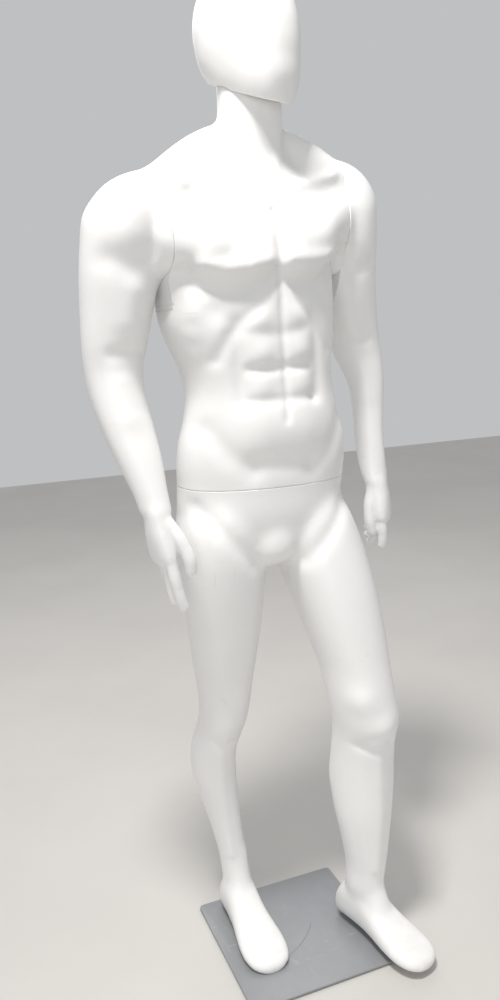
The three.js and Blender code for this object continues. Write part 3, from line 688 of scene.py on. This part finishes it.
def buildLegs():
    rows = [row for row in trunkRows if row[0] <= legSkin["to"]]
    parts = [closedLoft("hips", bend(levelRings(rows, sides=96))), closedLoft("bulge", levelRings(bulgeRows))]
    for which in ("right", "left"):
        parts.append(closedLoft("leg", levelRings(legs[which], sides=56)))
        parts.extend(footParts(which))
    piece = fuse("legs_moulding", parts, legSkin["voxel"] * mm)
    points = readPoints(piece) / mm
    strength = np.clip((points[:, 2] - legSkin["above"]) / legSkin["stretch"], legSkin["least"], 1)
    relax(piece, legSkin["rounding"] * mm, strength)
    carve(piece, legStrokes)
    relax(piece, legSkin["evening"] * mm)
    points = readPoints(piece) / mm
    leftSide = points[:, 0] > legSkin["between"]
    for which, chosen in (("left", leftSide), ("right", ~leftSide)):
        sole = plateTop / mm + feet["gap"] + feet[which]["lift"]
        points[chosen, 2] = np.maximum(points[chosen, 2], sole)
    writePoints(piece, points * mm)
    cutOpen(piece, (0, 0, waistSeam), (0, 0, 1), rim=8, depth=13)
    settle(piece, "lower_body", "moulded_shell", "legs_shell")
    return piece


head = {
    "rows": [
        (1610, 0, -58, 18, 20), (1622, 0, -49, 34, 36), (1642, 0, -38, 51, 57), (1668, 0, -22, 63, 80),
        (1698, 0, -8, 71, 95), (1730, 0, -2, 76, 101), (1768, 0, 3, 77, 101), (1805, 0, 6, 70, 92),
        (1832, 0, 8, 56, 74), (1850, 0, 9, 35, 47), (1857, 0, 9, 12, 17)],
    "turn": 20, "jawTilt": 21, "jawHeight": 1658, "neckAxis": (6, 6),
    "neckHole": 58, "holeFrom": 1560, "holeTo": 1704,
    "voxel": 2.2, "rounding": 4,
}


def buildHead():
    piece = closedLoft("head", levelRings(head["rows"], sides=72, steps=8))
    piece = fuse("head_moulding", [piece], head["voxel"] * mm)
    relax(piece, head["rounding"] * mm)
    jaw = Matrix.Rotation(math.radians(head["jawTilt"]), 3, "X") @ Vector((0, 0, -1))
    spot = Vector((0, 0, head["jawHeight"] * mm))
    editAll(piece)
    bpy.ops.mesh.bisect(plane_co=spot - jaw * 2 * mm, plane_no=jaw, use_fill=True, clear_outer=True)
    bpy.ops.mesh.inset(thickness=0.5 * mm, depth=1.2 * mm)
    bpy.ops.mesh.inset(thickness=1.2 * mm, depth=0.8 * mm)
    bpy.ops.object.mode_set(mode="OBJECT")
    turn = Matrix.Rotation(math.radians(head["turn"]), 4, "Z")
    neckX, neckY = [value * mm for value in head["neckAxis"]]
    piece.data.transform(Matrix.Translation((neckX, neckY, 0)) @ turn)
    deselectAll()
    low, high = head["holeFrom"] * mm, head["holeTo"] * mm
    bpy.ops.mesh.primitive_cylinder_add(
        vertices=96, radius=head["neckHole"] * mm, depth=high - low,
        location=(neckX, neckY, (low + high) / 2))
    borer = bpy.context.object
    cutAway(piece, borer, solver="EXACT")
    settle(piece, "head", "moulded_shell", "head_shell")
    return piece


plate = {
    "corner": 9, "edge": 0.8,
    "markMiddle": (-77, 84), "markRadius": 176, "markWidth": 1.6, "markBack": -12}  # the curved line


def buildPlate():
    deselectAll()
    bpy.ops.mesh.primitive_cube_add(size=1, location=plateMiddle)
    piece = bpy.context.object
    piece.name = "base_plate_coated"
    piece.data.name = piece.name
    piece.scale = plateHigh - plateLow
    bpy.ops.object.transform_apply(location=True, rotation=True, scale=True)
    bpy.ops.object.mode_set(mode="EDIT")
    bpy.ops.mesh.select_mode(type="EDGE")
    bpy.ops.mesh.select_all(action="DESELECT")
    bpy.ops.object.mode_set(mode="OBJECT")
    points = readPoints(piece)
    for edge in piece.data.edges:
        a, b = points[list(edge.vertices)]
        edge.select = abs(a[2] - b[2]) > 1 * mm
    bpy.ops.object.mode_set(mode="EDIT")
    bpy.ops.mesh.bevel(offset=plate["corner"] * mm, segments=8)
    bpy.ops.object.mode_set(mode="OBJECT")
    applyModifier(
        piece, "BEVEL", width=plate["edge"] * mm, segments=3, limit_method="ANGLE",
        angle_limit=math.radians(50))
    deselectAll()
    markSpot = figureAxis + Vector((plate["markMiddle"][0] * mm, plate["markMiddle"][1] * mm, plateTop))
    bpy.ops.mesh.primitive_torus_add(
        major_segments=240, minor_segments=8, major_radius=plate["markRadius"] * mm,
        minor_radius=plate["markWidth"] / 2 * mm, location=markSpot)
    borer = bpy.context.object
    bpy.ops.object.transform_apply(location=True, rotation=True, scale=True)
    editAll(borer)
    arcEnd = figureAxis + Vector((0, plate["markBack"] * mm, 0))
    bpy.ops.mesh.bisect(plane_co=arcEnd, plane_no=(0, 1, 0), use_fill=True, clear_outer=True)
    bpy.ops.object.mode_set(mode="OBJECT")
    cutAway(piece, borer)
    makeActive(piece)
    bpy.ops.object.shade_smooth_by_angle(angle=smoothAngle)
    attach(piece, "base")
    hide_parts("base_plate")
    print("base plate done")
    return piece


def newGroup(name, inputs, outputs):
    group = bpy.data.node_groups.new(name, "ShaderNodeTree")
    for label, kind, value in inputs:
        socket = group.interface.new_socket(name=label, in_out="INPUT", socket_type=kind)
        socket.default_value = value
    for label, kind in outputs:
        group.interface.new_socket(name=label, in_out="OUTPUT", socket_type=kind)
    return group, group.nodes.new("NodeGroupInput"), group.nodes.new("NodeGroupOutput")


def addMath(tree, operation, a, b, clamp=False):
    node = tree.nodes.new("ShaderNodeMath")
    node.operation = operation
    node.use_clamp = clamp
    for socket, value in zip(node.inputs, (a, b)):
        if isinstance(value, (int, float)):
            socket.default_value = value
        else:
            tree.links.new(value, socket)
    return node.outputs[0]


def addNoise(tree, coordinates, scale, detail, roughness=0.55):
    node = tree.nodes.new("ShaderNodeTexNoise")
    node.inputs["Detail"].default_value = detail
    node.inputs["Roughness"].default_value = roughness
    if isinstance(scale, (int, float)):
        node.inputs["Scale"].default_value = scale
    else:
        tree.links.new(scale, node.inputs["Scale"])
    tree.links.new(coordinates, node.inputs["Vector"])
    return node.outputs["Fac"]


def addRange(tree, value, low, high, newLow=0.0, newHigh=1.0):
    node = tree.nodes.new("ShaderNodeMapRange")
    node.interpolation_type = "SMOOTHSTEP"
    for label, number in (("From Min", low), ("From Max", high), ("To Min", newLow), ("To Max", newHigh)):
        if isinstance(number, (int, float)):
            node.inputs[label].default_value = number
        else:
            tree.links.new(number, node.inputs[label])
    tree.links.new(value, node.inputs["Value"])
    return node.outputs["Result"]


# Fine scratches and rubbed patches: Marks is 0 to 1, Height feeds a bump
def makeHandling():
    group, inputs, outputs = newGroup(
        "handlingMarks",
        [("Scale", "NodeSocketFloat", 1.0), ("Amount", "NodeSocketFloat", 0.5)],
        [("Marks", "NodeSocketFloat"), ("Patches", "NodeSocketFloat"), ("Height", "NodeSocketFloat")])
    coordinates = group.nodes.new("ShaderNodeTexCoord").outputs["Object"]
    scratches = []
    for turn, stretch in ((0.4, (220, 14, 14)), (1.7, (16, 200, 18)), (2.6, (14, 20, 240))):
        mapping = group.nodes.new("ShaderNodeMapping")
        mapping.inputs["Rotation"].default_value = (turn, turn * 0.7, turn * 1.3)
        mapping.inputs["Scale"].default_value = stretch
        group.links.new(coordinates, mapping.inputs["Vector"])
        noise = addNoise(group, mapping.outputs["Vector"], inputs.outputs["Scale"], 2)
        scratches.append(addRange(group, noise, 0.66, 0.72))
    lines = addMath(group, "MAXIMUM", addMath(group, "MAXIMUM", scratches[0], scratches[1]), scratches[2])
    breakUp = addRange(group, addNoise(group, coordinates, 9.0, 4), 0.5, 0.68)
    marks = addMath(group, "MULTIPLY", addMath(group, "MULTIPLY", lines, breakUp), inputs.outputs["Amount"])
    patches = addRange(group, addNoise(group, coordinates, 5.5, 6, 0.6), 0.42, 0.7)
    group.links.new(marks, outputs.inputs["Marks"])
    group.links.new(patches, outputs.inputs["Patches"])
    group.links.new(addMath(group, "MULTIPLY", marks, -1.0), outputs.inputs["Height"])
    return group


# Dust that settles on surfaces facing up and gathers low down
def makeDust():
    group, inputs, outputs = newGroup(
        "settledDust",
        [("Amount", "NodeSocketFloat", 0.4), ("Low Zone", "NodeSocketFloat", 0.15)],
        [("Dust", "NodeSocketFloat")])
    coordinates = group.nodes.new("ShaderNodeTexCoord").outputs["Object"]
    geometry = group.nodes.new("ShaderNodeNewGeometry")
    normal = group.nodes.new("ShaderNodeSeparateXYZ")
    group.links.new(geometry.outputs["Normal"], normal.inputs["Vector"])
    upward = addRange(group, normal.outputs["Z"], 0.35, 1.0)
    place = group.nodes.new("ShaderNodeSeparateXYZ")
    group.links.new(coordinates, place.inputs["Vector"])
    low = addRange(group, place.outputs["Z"], 0.0, inputs.outputs["Low Zone"], 1.0, 0.0)
    grain = addRange(group, addNoise(group, coordinates, 34.0, 8, 0.7), 0.3, 0.8)
    amount = addMath(group, "ADD", upward, addMath(group, "MULTIPLY", low, 0.6), clamp=True)
    amount = addMath(group, "MULTIPLY", amount, grain)
    group.links.new(addMath(group, "MULTIPLY", amount, inputs.outputs["Amount"]), outputs.inputs["Dust"])
    return group


handlingGroup, dustGroup = makeHandling(), makeDust()
toneScale = 3.0  # broad drift between a finish's two colours
scratchDepth = 0.00003


def mixColour(tree, factor, a, b):
    node = tree.nodes.new("ShaderNodeMix")
    node.data_type = "RGBA"
    for label, value in (("Factor", factor), ("A", a), ("B", b)):
        socket = next(s for s in node.inputs if s.name == label and (s.type == "RGBA" or label == "Factor"))
        if isinstance(value, tuple):
            socket.default_value = (*value, 1)
        else:
            tree.links.new(value, socket)
    return next(s for s in node.outputs if s.type == "RGBA")


def makeFinish(name, look):
    material = bpy.data.materials.new(name)
    material.use_nodes = True
    tree = material.node_tree
    shader = tree.nodes["Principled BSDF"]
    coordinates = tree.nodes.new("ShaderNodeTexCoord").outputs["Object"]
    handling = tree.nodes.new("ShaderNodeGroup")
    handling.node_tree = handlingGroup
    handling.inputs["Amount"].default_value = look.get("scratches", 0.5)
    dust = tree.nodes.new("ShaderNodeGroup")
    dust.node_tree = dustGroup
    dust.inputs["Amount"].default_value = look.get("dust", 0.3)
    dust.inputs["Low Zone"].default_value = look.get("dustZone", 0.15)
    tone = addRange(tree, addNoise(tree, coordinates, toneScale, 5), 0.3, 0.7)
    colour = mixColour(tree, tone, look["colour"], look["secondColour"])
    colour = mixColour(tree, handling.outputs["Marks"], colour, look["markColour"])
    colour = mixColour(tree, dust.outputs["Dust"], colour, look.get("dustColour", (0.5, 0.47, 0.42)))
    tree.links.new(colour, shader.inputs["Base Color"])
    rough = addRange(tree, handling.outputs["Patches"], 0.0, 1.0, *look["roughness"])
    rough = addMath(tree, "ADD", rough, addMath(tree, "MULTIPLY", dust.outputs["Dust"], 0.4), clamp=True)
    tree.links.new(rough, shader.inputs["Roughness"])
    shader.inputs["Metallic"].default_value = look.get("metallic", 0.0)
    shader.inputs["Coat Weight"].default_value = look.get("coat", 0.0)
    shader.inputs["Coat Roughness"].default_value = look.get("coatRoughness", 0.2)
    shader.inputs["IOR"].default_value = 1.5
    grain = addNoise(tree, coordinates, look["grainScale"], 2)
    waves = addNoise(tree, coordinates, look.get("waveScale", 24.0), 2)
    height = addMath(tree, "ADD", addMath(tree, "MULTIPLY", grain, look["grainHeight"]),
                     addMath(tree, "MULTIPLY", waves, look.get("waveHeight", 0.0)))
    height = addMath(tree, "ADD", height, addMath(tree, "MULTIPLY", handling.outputs["Height"], scratchDepth))
    bump = tree.nodes.new("ShaderNodeBump")
    bump.inputs["Distance"].default_value = 1.0
    bump.inputs["Strength"].default_value = 1.0
    tree.links.new(height, bump.inputs["Height"])
    tree.links.new(bump.outputs["Normal"], shader.inputs["Normal"])
    return material


finishes = {
    "moulded_shell": dict(
        colour=(0.86, 0.857, 0.845), secondColour=(0.83, 0.826, 0.815), markColour=(0.62, 0.61, 0.6),
        roughness=(0.34, 0.46), dust=0.3, dustZone=0.12, dustColour=(0.66, 0.62, 0.55), scratches=0.22,
        grainScale=900.0, grainHeight=0.00002, waveScale=26.0, waveHeight=0.00035, coat=0.15,
        coatRoughness=0.25),
    "closing_board": dict(
        colour=(0.68, 0.66, 0.62), secondColour=(0.62, 0.6, 0.55), markColour=(0.4, 0.38, 0.34),
        roughness=(0.6, 0.75), grainScale=400.0, grainHeight=0.00006, scratches=0.4),
    "steel_fitting": dict(
        colour=(0.6, 0.61, 0.63), secondColour=(0.52, 0.53, 0.55), markColour=(0.75, 0.76, 0.78),
        roughness=(0.25, 0.42), metallic=1.0, grainScale=700.0, grainHeight=0.00002, scratches=0.9, dust=0.1),
    "screw_steel": dict(
        colour=(0.56, 0.57, 0.58), secondColour=(0.46, 0.46, 0.45), markColour=(0.8, 0.8, 0.8),
        roughness=(0.3, 0.45), metallic=1.0, grainScale=900.0, grainHeight=0.00002, scratches=0.8, dust=0.1),
    "base_plate": dict(
        colour=(0.29, 0.3, 0.315), secondColour=(0.335, 0.345, 0.36), markColour=(0.46, 0.46, 0.47),
        roughness=(0.38, 0.52), metallic=0.35, grainScale=1100.0, grainHeight=0.00004, scratches=0.9,
        dust=0.22, dustZone=0.02, dustColour=(0.45, 0.43, 0.4)),
    "rubber_pad": dict(
        colour=(0.03, 0.03, 0.032), secondColour=(0.045, 0.045, 0.047), markColour=(0.12, 0.12, 0.12),
        roughness=(0.75, 0.9), grainScale=500.0, grainHeight=0.00006, scratches=0.3, dust=0.3),
}
materials = {name: makeFinish(name + "_finish", look) for name, look in finishes.items()}


def dress(piece, slot):
    piece.data.materials.clear()
    piece.data.materials.append(materials[slot])


newPieces = [buildTorso(), buildArm("left"), buildArm("right"), buildLegs(), buildHead()]
for piece in newPieces:
    dress(piece, "moulded_shell")
dress(buildPlate(), "base_plate")
slotOf = {entry["node"]: entry["material_slot"] for entry in frame["record"]["subparts"]}
for name, node in frame["nodes"].items():
    for index in range(len(node.material_slots)):
        node.material_slots[index].material = materials[slotOf[name]]
print("finishes assigned")

studio = {
    "floorSize": 12, "floorColour": (0.62, 0.6, 0.57), "sky": (0.93, 0.94, 0.955), "skyStrength": 0.56,
    "lights": [
        # from the figure: place, size, watts, colour
        ((-0.72, -0.74, 3.6), 0.45, 90, (1.0, 0.985, 0.96)),
        ((-1.6, -3.2, 1.3), 2.4, 20, (0.97, 0.98, 1.0)),
        ((0.6, 2.4, 2.8), 2.0, 14, (1.0, 1.0, 1.0))],
    "aim": (0, 0, 1.1),
    "cameraPlace": (-0.588, -1.429, 1.258), "yaw": -21.5, "pitch": -11.64, "roll": -2.42, "lens": 29.85,
}


def buildStudio():
    deselectAll()
    bpy.ops.mesh.primitive_plane_add(size=studio["floorSize"])
    floor = bpy.context.object
    floor.name = "floor"
    paint = bpy.data.materials.new("pale_floor")
    paint.use_nodes = True
    tree = paint.node_tree
    shader = tree.nodes["Principled BSDF"]
    coordinates = tree.nodes.new("ShaderNodeTexCoord").outputs["Object"]
    tone = addRange(tree, addNoise(tree, coordinates, 1.4, 6), 0.3, 0.7)
    colour = mixColour(tree, tone, studio["floorColour"], tuple(0.94 * c for c in studio["floorColour"]))
    tree.links.new(colour, shader.inputs["Base Color"])
    shader.inputs["Roughness"].default_value = 0.55
    floor.data.materials.append(paint)

    world = bpy.data.worlds.new("studio")
    world.use_nodes = True
    background = world.node_tree.nodes["Background"]
    background.inputs["Color"].default_value = (*studio["sky"], 1)
    background.inputs["Strength"].default_value = studio["skyStrength"]
    bpy.context.scene.world = world

    aim = figureAxis + Vector(studio["aim"])
    for place, size, watts, colour in studio["lights"]:
        light = bpy.data.lights.new("softbox", "AREA")
        light.size = size
        light.energy = watts
        light.color = colour
        lamp = bpy.data.objects.new("softbox", light)
        bpy.context.scene.collection.objects.link(lamp)
        lamp.location = figureAxis + Vector(place)
        lamp.rotation_euler = (aim - lamp.location).to_track_quat("-Z", "Y").to_euler()

    yaw, pitch, roll = (math.radians(studio[key]) for key in ("yaw", "pitch", "roll"))
    forward = Vector((-math.sin(yaw) * math.cos(pitch), math.cos(yaw) * math.cos(pitch), math.sin(pitch)))
    level = Vector((math.cos(yaw), math.sin(yaw), 0))
    upright = level.cross(forward)
    right = math.cos(roll) * level + math.sin(roll) * upright
    top = math.cos(roll) * upright - math.sin(roll) * level
    lens = bpy.data.cameras.new("camera")
    lens.lens = studio["lens"]
    lens.sensor_width = 36
    lens.sensor_fit = "AUTO"
    lens.clip_start = 0.02
    camera = bpy.data.objects.new("camera", lens)
    bpy.context.scene.collection.objects.link(camera)
    turn = Matrix((right, top, -forward)).transposed().to_4x4()
    camera.matrix_world = Matrix.Translation(figureAxis + Vector(studio["cameraPlace"])) @ turn
    bpy.context.scene.camera = camera
    bpy.context.scene.view_settings.view_transform = "Standard"
    print("studio ready")


buildStudio()
